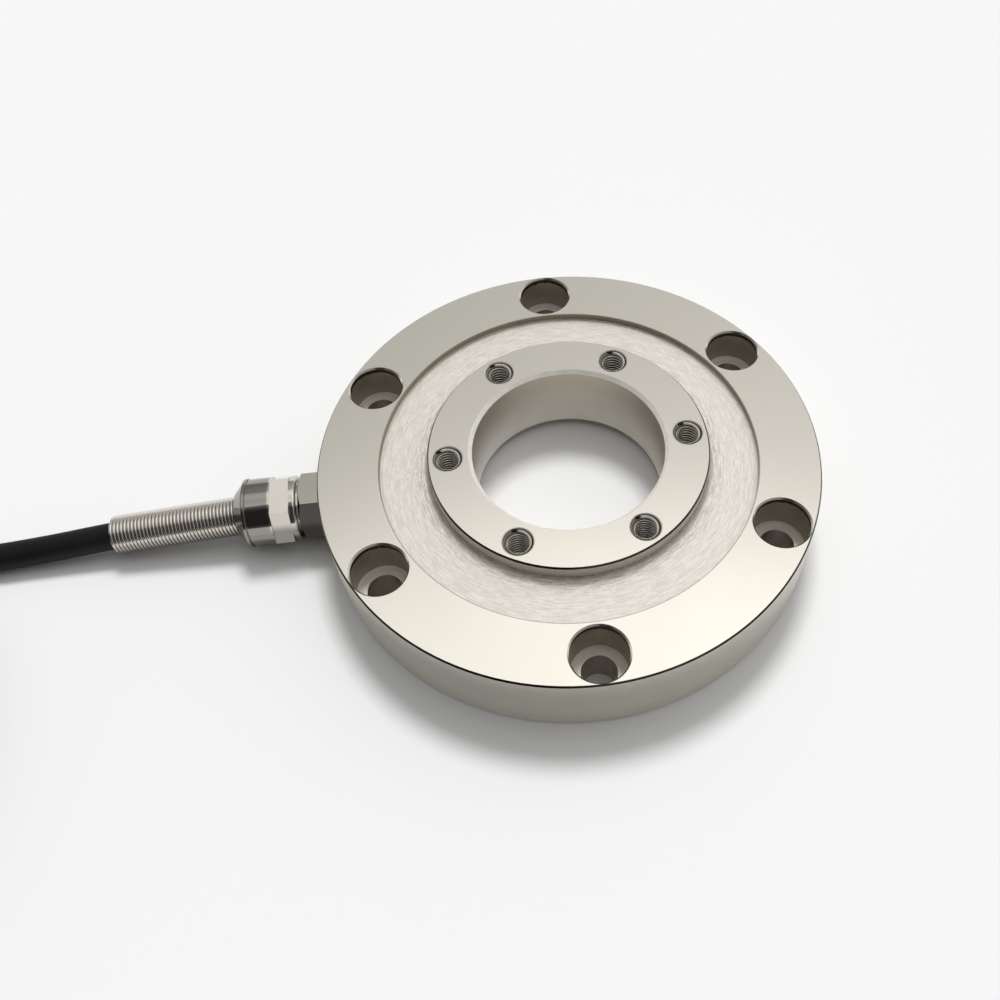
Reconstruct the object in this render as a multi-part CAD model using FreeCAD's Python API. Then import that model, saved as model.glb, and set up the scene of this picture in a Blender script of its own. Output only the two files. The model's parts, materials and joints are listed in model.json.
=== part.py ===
import FreeCAD
import Part
import math
import os

# Pancake load cell, in millimetres. The base lies on z = 0, +Z is the loading axis through the
# centre of the bore, and the cable gland points along -X.

V = FreeCAD.Vector
UP = V(0, 0, 1)
ORIGIN = V(0, 0, 0)

# Body: widths follow each other outwards from the bore, and heights upwards from the cover
BORE_RADIUS = 24.0
BORE_LAND = 2.1
HUB_LAND = 1.1
RECESS_WIDTH = 12.25
RIM_LAND = 1.0
RIM_EDGE = 0.75
RECESS_DEPTH = 1.8
HUB_RISE = 2.6
HUB_CLEARANCE = 2.2
BORE_CHAMFER = 0.9
RIM_CHAMFER = 0.4
HUB_CHAMFER = 0.4
BASE_CHAMFER = 0.5
HUB_FOOT_FILLET = 1.0

# Gauge cavity under the sensing web
WEB_THICKNESS = 4.0
CAVITY_HEIGHT = 9.9
CAVITY_HUB_STEP = 1.0
CAVITY_RIM_STEP = 0.75
CAVITY_CHAMFER = 1.5

# Cover plate of the cavity
COVER_THICKNESS = 1.5
COVER_SUNK = 2.6
COVER_SEAT_WIDTH = 2.0
COVER_CLEARANCE = 0.1
COVER_SEAL_GAP = 1.2
GASKET_THICKNESS = 0.2

# Counterbored mounting holes for M8 screws
MOUNT_COUNT = 6
MOUNT_FIRST_ANGLE = 30.0
MOUNT_HOLE_RADIUS = 4.25
MOUNT_HEAD_RADIUS = 6.75
MOUNT_HEAD_DEPTH = 10.0
MOUNT_MOUTH_CHAMFER = 0.4

# Tapped holes M6 in the hub, drawn at the thread's nominal size
TAPPED_COUNT = 6
TAPPED_FIRST_ANGLE = 0.0
TAPPED_RADIUS = 3.0
TAPPED_MOUTH_RADIUS = 3.9
TAPPED_DEPTH = 15.0
DRILL_POINT_ANGLE = 118.0

# Gland port in the rim
PORT_SPOT_DEPTH = 0.75
PORT_SPOT_RADIUS = 9.5
PORT_END_GAP = 0.25
PORT_BASE_GAP = 0.05
PORT_THREAD_CLEARANCE = 0.05
PASSAGE_RADIUS = 3.2

# Gland: distances run outwards from the spot face along the gland's axis
GLAND_THREAD_RADIUS = 6.0
GLAND_THREAD_LENGTH = 8.0
WASHER_THICKNESS = 1.0
GLAND_FLATS = 16.0
GLAND_HEX_LENGTH = 5.2
SPIGOT_WALL = 1.0
SPIGOT_LENGTH = 6.4
GROMMET_POCKET_GAP = 2.1
GROMMET_POCKET_DEPTH = 5.0
GROMMET_PROUD = 0.4
GROMMET_CLEARANCE = 0.05
GROMMET_TAPER = 0.8
CLAMP_THICKNESS = 1.0
THREAD_START = 0.5

# Cap nut
NUT_GAP = 0.55
NUT_WALL = 1.35
NUT_COLLAR_RISE = 0.2
NUT_COLLAR_LENGTH = 1.7
NUT_HEX_LENGTH = 4.6
NUT_HEX_TURN = 50.7
NUT_BARREL_RISE = 0.5
NUT_BARREL_LENGTH = 5.8
NUT_GROOVE_DEPTH = 0.25
NUT_GROOVE_WIDTH = 0.3
NUT_BEAD_RISE = 0.75
NUT_BEAD_WIDTH = 0.95
NUT_CONE_RISE = 0.35
NUT_CONE_LENGTH = 2.3
NUT_LIP = 0.25
NUT_THREAD_CLEARANCE = 0.05
SPRING_POCKET_CLEARANCE = 0.5
SPRING_GRIP_CLEARANCE = 0.12
SPRING_GRIP_LENGTH = 0.8
SPRING_MOUTH_CLEARANCE = 0.6

# Strain relief spring: a close coil, gripped at the nut's bead, that droops towards the surface
SPRING_CABLE_GAP = 0.64
SPRING_WIRE_RADIUS = 0.43
SPRING_TURN_GAP = 0.04
SPRING_TURNS = 42
SPRING_STEPS = 14
SPRING_INSIDE = 3.6
SPRING_DROOP = 5.0
SPRING_WIRE_SIDES = 6

# Cable
CABLE_RADIUS = 3.5
CABLE_CLEARANCE = 0.2

# Coil of the cable: turns side by side in flat layers, on the surface beside the load cell
COIL_AHEAD = 195.0
COIL_ASIDE = 47.0
COIL_COLUMNS = 3
COIL_LAYERS = 4
COIL_INNER_TURN = 33.0
COIL_SLACK = 0.25
TIE_THICKNESS = 0.8
TIE_WIDTH = 4.5
TIE_ANGLES = (25.0, 265.0)

# Route of the cable from the clamp washer to the coil's outer turn
LEAD_ROUTE = [
    (-75.75, 0.0, 8.8),
    (-84.0, 0.0, 8.8),
    (-100.0, 0.1, 7.2),
    (-117.0, -0.1, 5.6),
    (-133.0, -0.9, 4.1),
    (-149.0, -1.7, 3.6),
    (-164.0, -1.2, 3.6),
    (-177.0, -2.2, 3.9),
    (-187.0, -5.4, 4.4),
]

# Route of the cable's tail, up from the outer turn of the top layer and along the coil's top
TAIL_ROUTE = [
    (-217.1, -5.5, 25.6),
    (-227.5, -13.3, 28.4),
    (-235.0, -23.9, 30.8),
    (-239.0, -36.8, 31.6),
    (-238.9, -50.1, 31.6),
]

# Leads stripped at the far end of the cable: distances ahead of, left of and above its end
LEAD_RADIUS = 0.65
BARE_RADIUS = 0.4
BARE_LENGTH = 5.0
LEAD_FAN = {
    "lead_red": [(0, 1.5, 0.5), (4, 2.3, 0.2), (8, 4.3, -0.8), (11.8, 7.6, -1.65), (15, 12, -1.65)],
    "lead_green": [(0, 0.9, -1.3), (4.5, 1.5, -1.5), (9, 3.2, -1.65), (13, 6, -1.65), (17, 10, -1.65)],
    "lead_shield": [(0, 0, 1.6), (4.5, 0.3, 1.2), (9, 1.5, -0.2), (13.8, 4, -1.65), (18, 7.4, -1.65)],
    "lead_white": [(0, -0.9, -1.3), (5, -0.9, -1.5), (10, 0.2, -1.65), (15, 2.3, -1.65), (19.4, 5, -1.65)],
    "lead_black": [(0, -1.5, 0.5), (4.6, -1.9, 0.3), (10, -1.5, -0.9), (15.4, 0, -1.65), (20.4, 2.7, -1.65)],
}

# Strain gauges and wiring inside the cavity
GAUGE_COLUMNS = 4
GAUGE_FIRST_ANGLE = -135.0
GAUGE_LENGTH = 6.0
GAUGE_THICKNESS = 0.1
GAUGE_GAP = 0.6
GAUGE_EDGE_GAP = 0.25
TERMINAL_LENGTH = 3.0
TERMINAL_WIDTH = 3.0
TERMINAL_THICKNESS = 0.3
TERMINAL_OFFSET = 7.0
JUMPER_RADIUS = 0.3
BOARD_ANGLE = 22.0
BOARD_THICKNESS = 1.0
BOARD_EDGE_GAP = 1.2
BOARD_PAD_THICKNESS = 0.5
RESISTOR_ANGLES = (-8.5, -4.5, 4.5, 8.5)
RESISTOR_LENGTH = 3.2
RESISTOR_WIDTH = 1.6
RESISTOR_THICKNESS = 0.6
CORE_RADIUS = 0.65
CORE_SPREAD = 0.9

# Worked out from the sizes above
HUB_RADIUS = BORE_RADIUS + BORE_LAND + 2 * TAPPED_MOUTH_RADIUS + HUB_LAND
TAPPED_PITCH_RADIUS = BORE_RADIUS + BORE_LAND + TAPPED_MOUTH_RADIUS
RECESS_RADIUS = HUB_RADIUS + RECESS_WIDTH
MOUNT_PITCH_RADIUS = RECESS_RADIUS + RIM_LAND + MOUNT_HEAD_RADIUS
OUTER_RADIUS = MOUNT_PITCH_RADIUS + MOUNT_HEAD_RADIUS + RIM_EDGE
CAVITY_INNER_RADIUS = HUB_RADIUS + CAVITY_HUB_STEP
CAVITY_OUTER_RADIUS = RECESS_RADIUS - CAVITY_RIM_STEP
CAVITY_MIDDLE = (CAVITY_INNER_RADIUS + CAVITY_OUTER_RADIUS) / 2
WEB_FLAT_WIDTH = CAVITY_OUTER_RADIUS - CAVITY_INNER_RADIUS - 2 * CAVITY_CHAMFER
COVER_TOP = COVER_SUNK + COVER_THICKNESS
COVER_SEAT = COVER_TOP + GASKET_THICKNESS
WEB_UNDERSIDE = COVER_SEAT + CAVITY_HEIGHT
RECESS_FLOOR = WEB_UNDERSIDE + WEB_THICKNESS
RIM_HEIGHT = RECESS_FLOOR + RECESS_DEPTH
HUB_TOP = RIM_HEIGHT + HUB_RISE
COVER_SEAT_RADIUS = CAVITY_OUTER_RADIUS + COVER_SEAT_WIDTH
COVER_INNER_RADIUS = CAVITY_INNER_RADIUS + COVER_SEAL_GAP
GAUGE_WIDTH = (WEB_FLAT_WIDTH - 2 * GAUGE_EDGE_GAP - GAUGE_GAP) / 2
GAUGE_SPACING = GAUGE_WIDTH + GAUGE_GAP
PORT_FACE = OUTER_RADIUS - PORT_SPOT_DEPTH
PORT_DEPTH = GLAND_THREAD_LENGTH + PORT_END_GAP
JACKET_START = PORT_FACE - PORT_DEPTH
GLAND_BORE_RADIUS = CABLE_RADIUS + CABLE_CLEARANCE
GROMMET_POCKET_RADIUS = CABLE_RADIUS + GROMMET_POCKET_GAP
SPIGOT_RADIUS = GROMMET_POCKET_RADIUS + SPIGOT_WALL
WASHER_RADIUS = GLAND_FLATS / 2
HEX_END = WASHER_THICKNESS + GLAND_HEX_LENGTH
SPIGOT_END = HEX_END + SPIGOT_LENGTH
GROMMET_START = SPIGOT_END - GROMMET_POCKET_DEPTH
GROMMET_END = SPIGOT_END + GROMMET_PROUD
CLAMP_END = GROMMET_END + CLAMP_THICKNESS
NUT_START = HEX_END + NUT_GAP
NUT_HEX_START = NUT_START + NUT_COLLAR_LENGTH
NUT_HEX_END = NUT_HEX_START + NUT_HEX_LENGTH
NUT_BARREL_END = NUT_HEX_END + NUT_BARREL_LENGTH
NUT_BEAD_START = NUT_BARREL_END + NUT_GROOVE_WIDTH
NUT_BEAD_END = NUT_BEAD_START + NUT_BEAD_WIDTH
NUT_END = NUT_BEAD_END + NUT_CONE_LENGTH
NUT_THREAD_RADIUS = SPIGOT_RADIUS + NUT_THREAD_CLEARANCE
NUT_FLATS = 2 * (NUT_THREAD_RADIUS + NUT_WALL)
NUT_COLLAR_RADIUS = NUT_FLATS / 2 + NUT_COLLAR_RISE
NUT_BARREL_RADIUS = NUT_FLATS / 2 + NUT_BARREL_RISE
NUT_BEAD_RADIUS = NUT_FLATS / 2 + NUT_BEAD_RISE
NUT_CONE_RADIUS = NUT_FLATS / 2 + NUT_CONE_RISE
PORT_HEIGHT = NUT_BEAD_RADIUS + PORT_BASE_GAP
SPRING_RADIUS = CABLE_RADIUS + SPRING_CABLE_GAP + 2 * SPRING_WIRE_RADIUS
SPRING_PITCH = 2 * SPRING_WIRE_RADIUS + SPRING_TURN_GAP
GRIP = (NUT_BEAD_START + NUT_BEAD_END) / 2
COIL_CENTRE = V(-COIL_AHEAD, -COIL_ASIDE, 0)
COIL_INSIDE = COIL_INNER_TURN - CABLE_RADIUS - COIL_SLACK
COIL_OUTSIDE = COIL_INSIDE + 2 * COIL_SLACK + 2 * CABLE_RADIUS * COIL_COLUMNS
COIL_TOP = TIE_THICKNESS + 2 * COIL_SLACK + 2 * CABLE_RADIUS * COIL_LAYERS


def rounded_edges(points, radii, closed):
    """Straight edges through the points, with a tangent arc of the given radius at each corner."""
    count = len(points)
    starts = []
    ends = []
    arcs = []
    for i, point in enumerate(points):
        radius = radii[i]
        inner = closed or 0 < i < count - 1
        if radius <= 0 or not inner:
            starts.append(point)
            ends.append(point)
            arcs.append(None)
            continue
        back = (points[i - 1] - point).normalize()
        ahead = (points[(i + 1) % count] - point).normalize()
        half = back.getAngle(ahead) / 2
        reach = radius / math.tan(half)
        middle = (back + ahead).normalize() * (radius / math.sin(half) - radius)
        starts.append(point + back * reach)
        ends.append(point + ahead * reach)
        arcs.append(point + middle)
    edges = []
    last = count if closed else count - 1
    for i in range(count):
        if arcs[i] is not None:
            edges.append(Part.Arc(starts[i], arcs[i], ends[i]).toShape())
        if i < last:
            edges.append(Part.LineSegment(ends[i], starts[(i + 1) % count]).toShape())
    return edges


def turned(profile, axis=UP):
    """Solid of revolution. The profile is (radius, height) or (radius, height, corner radius)."""
    side = V(1, 0, 0) if axis == UP else UP
    points = [side * corner[0] + axis * corner[1] for corner in profile]
    radii = [corner[2] if len(corner) > 2 else 0 for corner in profile]
    face = Part.Face(Part.Wire(rounded_edges(points, radii, True)))
    return face.revolve(ORIGIN, axis, 360)


def ring(inner, outer, bottom, top, axis=UP):
    """Plain ring with a rectangular section."""
    return turned([(inner, bottom), (outer, bottom), (outer, top), (inner, top)], axis)


def around(count, first_angle):
    """Angles of a circular pattern, in degrees."""
    return [first_angle + 360.0 * i / count for i in range(count)]


def on_circle(radius, angle, z=0.0):
    """Point at a radius and an angle in degrees about the loading axis."""
    return V(radius * math.cos(math.radians(angle)), radius * math.sin(math.radians(angle)), z)


def drilled(radius, mouth_radius, top, depth):
    """Blind hole with a 45 degree mouth and a drill point, on the Z axis."""
    bottom = top - depth
    point = radius / math.tan(math.radians(DRILL_POINT_ANGLE / 2))
    mouth = mouth_radius - radius
    return turned([
        (0, bottom - point),
        (radius, bottom),
        (radius, top - mouth),
        (mouth_radius, top),
        (0, top),
    ])


def counterbored(bottom, top):
    """Through hole with a sunk screw seat, on the Z axis."""
    seat = top - MOUNT_HEAD_DEPTH
    mouth = MOUNT_HEAD_RADIUS + MOUNT_MOUTH_CHAMFER
    return turned([
        (0, bottom),
        (MOUNT_HOLE_RADIUS, bottom),
        (MOUNT_HOLE_RADIUS, seat),
        (MOUNT_HEAD_RADIUS, seat),
        (MOUNT_HEAD_RADIUS, top - MOUNT_MOUTH_CHAMFER),
        (mouth, top),
        (0, top),
    ])


def hexagon(flats, start, length, turn):
    """Hexagonal bar along X, with its first corner turned from +Y towards +Z."""
    corner = flats / math.sqrt(3)
    points = []
    for angle in around(6, turn):
        out = corner * math.cos(math.radians(angle))
        up = corner * math.sin(math.radians(angle))
        points.append(V(start, out, up))
    points.append(points[0])
    return Part.Face(Part.makePolygon(points)).extrude(V(length, 0, 0))


def on_gland(shape):
    """Moves a shape from the X axis, pointing out, to the gland's port."""
    placed = shape.copy()
    placed.rotate(ORIGIN, UP, 180)
    placed.translate(V(-PORT_FACE, 0, PORT_HEIGHT))
    return placed


def along_gland(profile):
    """Turned piece on the gland's axis."""
    return turned(profile, V(1, 0, 0))


def bend_radii(points):
    """Radius of each arc of a cord's route: as large as its two runs allow."""
    radii = [0.0]
    for i in range(1, len(points) - 1):
        before = points[i] - points[i - 1]
        after = points[i + 1] - points[i]
        shorter = min(before.Length, after.Length)
        turn = before.getAngle(after)
        radii.append(0.45 * shorter / math.tan(turn / 2))
    radii.append(0.0)
    return radii


def cord_tube(name, route, radius):
    """Round tube along straight runs joined by tangent arcs."""
    points = [V(*point) for point in route]
    radii = bend_radii(points)
    path = Part.Wire(rounded_edges(points, radii, False))
    section = Part.Wire([Part.makeCircle(radius, points[0], points[1] - points[0])])
    tube = path.makePipeShell([section], True, True)
    print(name, "bend radii", [round(value, 1) for value in radii[1:-1]], "length", round(path.Length, 2),
          "volume over section times length", round(tube.Volume / (math.pi * radius ** 2 * path.Length), 5))
    return tube


def load_cell_body():
    """Rim, thin sensing web and raised hub, turned from one blank, with its holes."""
    body = turned([
        (COVER_SEAT_RADIUS, 0),
        (OUTER_RADIUS - BASE_CHAMFER, 0),
        (OUTER_RADIUS, BASE_CHAMFER),
        (OUTER_RADIUS, RIM_HEIGHT - RIM_CHAMFER),
        (OUTER_RADIUS - RIM_CHAMFER, RIM_HEIGHT),
        (RECESS_RADIUS, RIM_HEIGHT),
        (RECESS_RADIUS, RECESS_FLOOR),
        (HUB_RADIUS, RECESS_FLOOR, HUB_FOOT_FILLET),
        (HUB_RADIUS, HUB_TOP - HUB_CHAMFER),
        (HUB_RADIUS - HUB_CHAMFER, HUB_TOP),
        (BORE_RADIUS + BORE_CHAMFER, HUB_TOP),
        (BORE_RADIUS, HUB_TOP - BORE_CHAMFER),
        (BORE_RADIUS, HUB_CLEARANCE + BASE_CHAMFER),
        (BORE_RADIUS + BASE_CHAMFER, HUB_CLEARANCE),
        (CAVITY_INNER_RADIUS, HUB_CLEARANCE),
        (CAVITY_INNER_RADIUS, WEB_UNDERSIDE - CAVITY_CHAMFER),
        (CAVITY_INNER_RADIUS + CAVITY_CHAMFER, WEB_UNDERSIDE),
        (CAVITY_OUTER_RADIUS - CAVITY_CHAMFER, WEB_UNDERSIDE),
        (CAVITY_OUTER_RADIUS, WEB_UNDERSIDE - CAVITY_CHAMFER),
        (CAVITY_OUTER_RADIUS, COVER_SEAT),
        (COVER_SEAT_RADIUS, COVER_SEAT),
    ])
    cuts = []
    for angle in around(MOUNT_COUNT, MOUNT_FIRST_ANGLE):
        hole = counterbored(0, RIM_HEIGHT)
        hole.translate(on_circle(MOUNT_PITCH_RADIUS, angle))
        cuts.append(hole)
    for angle in around(TAPPED_COUNT, TAPPED_FIRST_ANGLE):
        hole = drilled(TAPPED_RADIUS, TAPPED_MOUTH_RADIUS, HUB_TOP, TAPPED_DEPTH)
        hole.translate(on_circle(TAPPED_PITCH_RADIUS, angle))
        cuts.append(hole)
    port_radius = GLAND_THREAD_RADIUS + PORT_THREAD_CLEARANCE
    passage_end = PORT_FACE - CAVITY_MIDDLE
    cuts.append(on_gland(along_gland([
        (0, -passage_end),
        (PASSAGE_RADIUS, -passage_end),
        (PASSAGE_RADIUS, -PORT_DEPTH),
        (port_radius, -PORT_DEPTH),
        (port_radius, 0),
        (PORT_SPOT_RADIUS, 0),
        (PORT_SPOT_RADIUS, PORT_SPOT_DEPTH + 1),
        (0, PORT_SPOT_DEPTH + 1),
    ])))
    return body.cut(cuts)


def gauge_cover_ring():
    """Thin plate that closes the gauge cavity, sunk clear of the base."""
    outer = COVER_SEAT_RADIUS - COVER_CLEARANCE
    return ring(COVER_INNER_RADIUS, outer, COVER_SUNK, COVER_TOP)


def cover_gasket():
    """Adhesive gasket between the cover plate and its seat in the rim."""
    outer = COVER_SEAT_RADIUS - COVER_CLEARANCE
    return ring(CAVITY_OUTER_RADIUS, outer, COVER_TOP, COVER_SEAT)


def cover_seal():
    """Soft seal that lets the hub move against the cover plate."""
    return ring(CAVITY_INNER_RADIUS, COVER_INNER_RADIUS, HUB_CLEARANCE, COVER_TOP)


def gland_body():
    """Threaded stub, hexagon and spigot, with a pocket for the grommet."""
    corner = GLAND_FLATS / math.sqrt(3)
    chamfer = (corner - GLAND_FLATS / 2 + 0.2) * math.tan(math.radians(30))
    bevel = along_gland([
        (0, WASHER_THICKNESS),
        (corner, WASHER_THICKNESS),
        (corner, HEX_END - chamfer),
        (GLAND_FLATS / 2 - 0.2, HEX_END),
        (0, HEX_END),
    ])
    hex_part = hexagon(GLAND_FLATS, WASHER_THICKNESS, GLAND_HEX_LENGTH, 0).common(bevel)
    stem = along_gland([
        (0, -GLAND_THREAD_LENGTH),
        (GLAND_THREAD_RADIUS - THREAD_START, -GLAND_THREAD_LENGTH),
        (GLAND_THREAD_RADIUS, THREAD_START - GLAND_THREAD_LENGTH),
        (GLAND_THREAD_RADIUS, WASHER_THICKNESS),
        (SPIGOT_RADIUS, WASHER_THICKNESS),
        (SPIGOT_RADIUS, SPIGOT_END - THREAD_START),
        (SPIGOT_RADIUS - THREAD_START, SPIGOT_END),
        (0, SPIGOT_END),
    ])
    hollow = along_gland([
        (0, -GLAND_THREAD_LENGTH),
        (GLAND_BORE_RADIUS, -GLAND_THREAD_LENGTH),
        (GLAND_BORE_RADIUS, GROMMET_START),
        (GROMMET_POCKET_RADIUS - GROMMET_TAPER, GROMMET_START),
        (GROMMET_POCKET_RADIUS, SPIGOT_END),
        (0, SPIGOT_END),
    ])
    return on_gland(stem.fuse(hex_part).cut(hollow).removeSplitter())


def gland_washer():
    """Flat sealing washer between the spot face and the hexagon."""
    shape = ring(GLAND_THREAD_RADIUS, WASHER_RADIUS, 0, WASHER_THICKNESS, V(1, 0, 0))
    return on_gland(shape)


def cable_grommet():
    """Tapered rubber sleeve that the nut squeezes onto the cable."""
    outer = GROMMET_POCKET_RADIUS - GROMMET_CLEARANCE
    return on_gland(along_gland([
        (CABLE_RADIUS, GROMMET_START),
        (outer - GROMMET_TAPER, GROMMET_START),
        (outer, SPIGOT_END),
        (outer, GROMMET_END),
        (CABLE_RADIUS, GROMMET_END),
    ]))


def clamp_washer():
    """Metal washer between the grommet and the nut's shoulder."""
    outer = NUT_THREAD_RADIUS - NUT_THREAD_CLEARANCE
    return on_gland(ring(GLAND_BORE_RADIUS, outer, GROMMET_END, CLAMP_END, V(1, 0, 0)))


def cap_nut():
    """Clamping nut: collar, hexagon, round barrel, rolled bead and a cone down to the spring."""
    corner = NUT_FLATS / math.sqrt(3)
    groove = NUT_BARREL_RADIUS - NUT_GROOVE_DEPTH
    mouth = SPRING_RADIUS + SPRING_MOUTH_CLEARANCE
    grip = SPRING_RADIUS + SPRING_GRIP_CLEARANCE
    pocket = SPRING_RADIUS + SPRING_POCKET_CLEARANCE
    grip_start = GRIP - SPRING_GRIP_LENGTH / 2
    grip_end = GRIP + SPRING_GRIP_LENGTH / 2
    outside = along_gland([
        (0, NUT_START),
        (NUT_COLLAR_RADIUS, NUT_START, 0.7),
        (NUT_COLLAR_RADIUS, NUT_HEX_START),
        (NUT_BARREL_RADIUS - NUT_LIP, NUT_HEX_START),
        (NUT_BARREL_RADIUS - NUT_LIP, NUT_HEX_END),
        (NUT_BARREL_RADIUS, NUT_HEX_END),
        (NUT_BARREL_RADIUS, NUT_BARREL_END),
        (groove, NUT_BARREL_END + 0.1),
        (groove, NUT_BEAD_START),
        (NUT_BEAD_RADIUS, NUT_BEAD_START, 0.2),
        (NUT_BEAD_RADIUS, NUT_BEAD_END, 0.35),
        (NUT_CONE_RADIUS, NUT_BEAD_END),
        (mouth + NUT_LIP, NUT_END - 0.1),
        (mouth + NUT_LIP - 0.1, NUT_END),
        (0, NUT_END),
    ])
    waist = ring(0.5, corner + 1, NUT_HEX_START, NUT_HEX_END, V(1, 0, 0))
    flats = hexagon(NUT_FLATS, NUT_HEX_START, NUT_HEX_LENGTH, NUT_HEX_TURN)
    ends = outside.cut(waist)
    inside = along_gland([
        (0, NUT_START),
        (NUT_THREAD_RADIUS, NUT_START),
        (NUT_THREAD_RADIUS, CLAMP_END),
        (pocket, CLAMP_END),
        (pocket, grip_start - NUT_LIP),
        (grip, grip_start),
        (grip, grip_end),
        (mouth, NUT_END),
        (0, NUT_END),
    ])
    return on_gland(ends.fuse(flats).cut(inside).removeSplitter())


def strain_relief_spring():
    """Close coil of flat-sided wire with mitred bends, tilted about the nut's grip."""
    turn_radius = SPRING_RADIUS - SPRING_WIRE_RADIUS
    rise = SPRING_PITCH / SPRING_STEPS
    turn = 360.0 / SPRING_STEPS
    path = [on_circle(turn_radius, turn * i, rise * i) for i in range(SPRING_TURNS * SPRING_STEPS + 1)]
    ways = [(path[i + 1] - path[i]).normalize() for i in range(len(path) - 1)]
    ways.append(ways[-1])
    out = ways[0].cross(V(0, 0, 1)).normalize()
    up = out.cross(ways[0])
    section = []
    for angle in around(SPRING_WIRE_SIDES, 0.0):
        corner = on_circle(SPRING_WIRE_RADIUS, angle)
        section.append(path[0] + out * corner.x + up * corner.y)
    faces = [Part.Face(Part.makePolygon(section + section[:1]))]
    for i in range(1, len(path)):
        mitre = ways[i - 1] + ways[i]
        ahead = []
        for point in section:
            reach = (path[i] - point).dot(mitre) / ways[i - 1].dot(mitre)
            ahead.append(point + ways[i - 1] * reach)
        for k in range(SPRING_WIRE_SIDES):
            n = (k + 1) % SPRING_WIRE_SIDES
            side = [section[k], section[n], ahead[n], ahead[k], section[k]]
            faces.append(Part.Face(Part.makePolygon(side)))
        section = ahead
    faces.append(Part.Face(Part.makePolygon(section + section[:1])))
    wire = Part.makeSolid(Part.makeShell(faces))
    wire.rotate(ORIGIN, V(0, 1, 0), 90)
    wire.translate(V(-SPRING_INSIDE, 0, 0))
    wire.rotate(ORIGIN, V(0, 1, 0), SPRING_DROOP)
    wire.translate(V(GRIP, 0, 0))
    return on_gland(wire)


def cable_entry():
    """Stretch of the cable inside the gland, from the passage to the clamp washer."""
    length = PORT_FACE + CLAMP_END - JACKET_START
    return Part.makeCylinder(CABLE_RADIUS, length, V(-JACKET_START, 0, PORT_HEIGHT), V(-1, 0, 0))


def coil_section(grow):
    """Section through the coil, with its corners as round as a turn, grown by a thickness."""
    points = [
        V(COIL_INSIDE - grow, 0, TIE_THICKNESS - grow),
        V(COIL_OUTSIDE + grow, 0, TIE_THICKNESS - grow),
        V(COIL_OUTSIDE + grow, 0, COIL_TOP + grow),
        V(COIL_INSIDE - grow, 0, COIL_TOP + grow),
    ]
    return Part.Face(Part.Wire(rounded_edges(points, [CABLE_RADIUS + COIL_SLACK + grow] * 4, True)))


def cable_coil():
    """Outer shape of the coiled cable."""
    coil = coil_section(0).revolve(ORIGIN, UP, 360)
    coil.translate(COIL_CENTRE)
    return coil


def coil_tie(angle):
    """Flat tie round the coil's section."""
    band = coil_section(TIE_THICKNESS).revolve(ORIGIN, UP, 360)
    core = coil_section(0).revolve(ORIGIN, UP, 360)
    slice_start = V(0, -TIE_WIDTH / 2, -1)
    tie = band.cut(core).common(Part.makeBox(2 * COIL_OUTSIDE, TIE_WIDTH, 2 * COIL_TOP, slice_start))
    tie.rotate(ORIGIN, UP, angle)
    tie.translate(COIL_CENTRE)
    return tie


def stripped_lead(name, route, tail):
    """Insulated core with a bare end, that leaves the end face of the cable's tail."""
    end = V(*TAIL_ROUTE[-1])
    ahead = (end - V(*TAIL_ROUTE[-2])).normalize()
    left = UP.cross(ahead).normalize()
    above = ahead.cross(left)
    points = [end + ahead * point[0] + left * point[1] + above * point[2] for point in route]
    tube = cord_tube(name, points, LEAD_RADIUS)
    way_out = (points[-1] - points[-2]).normalize()
    start = points[-1] - way_out * LEAD_RADIUS
    bare = Part.makeCylinder(BARE_RADIUS, BARE_LENGTH + LEAD_RADIUS, start, way_out)
    return tube.fuse(bare).cut(tail)


def plate_on_web(length, width, thickness, radius, angle, offset):
    """Small plate bonded to the web's underside: length along the circle, offset along it."""
    plate = Part.makeBox(width, length, thickness)
    plate.translate(V(radius - width / 2, offset - length / 2, WEB_UNDERSIDE - thickness))
    plate.rotate(ORIGIN, UP, angle)
    return plate


def sector(inner, outer, bottom, top, middle, angle):
    """Part of a ring, with its middle at an angle."""
    corners = [(inner, bottom), (outer, bottom), (outer, top), (inner, top), (inner, bottom)]
    outline = Part.makePolygon([V(radius, 0, height) for radius, height in corners])
    piece = Part.Face(outline).revolve(ORIGIN, UP, angle)
    piece.rotate(ORIGIN, UP, middle - angle / 2)
    return piece


def jumper(first, last, radius):
    """Wire along the web between two terminals."""
    circle = Part.makeCircle(radius, ORIGIN, UP, first, last)
    circle.translate(V(0, 0, WEB_UNDERSIDE - TERMINAL_THICKNESS - JUMPER_RADIUS))
    start = on_circle(radius, first, WEB_UNDERSIDE - TERMINAL_THICKNESS - JUMPER_RADIUS)
    ahead = on_circle(1, first + 90)
    section = Part.Wire([Part.makeCircle(JUMPER_RADIUS, start, ahead)])
    return Part.Wire([circle]).makePipeShell([section], True, True)


def export(node, shape):
    """Checks that a node is one sound solid and writes it."""
    if not shape.isValid():
        raise ValueError(node + " is not a valid shape")
    if len(shape.Solids) != 1:
        raise ValueError(node + " is not one solid")
    shape.exportStep("parts/" + node + ".step")


def export_body():
    export("load_cell_body", load_cell_body())
    export("gauge_cover_ring", gauge_cover_ring())
    export("cover_gasket", cover_gasket())
    export("cover_seal", cover_seal())


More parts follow.
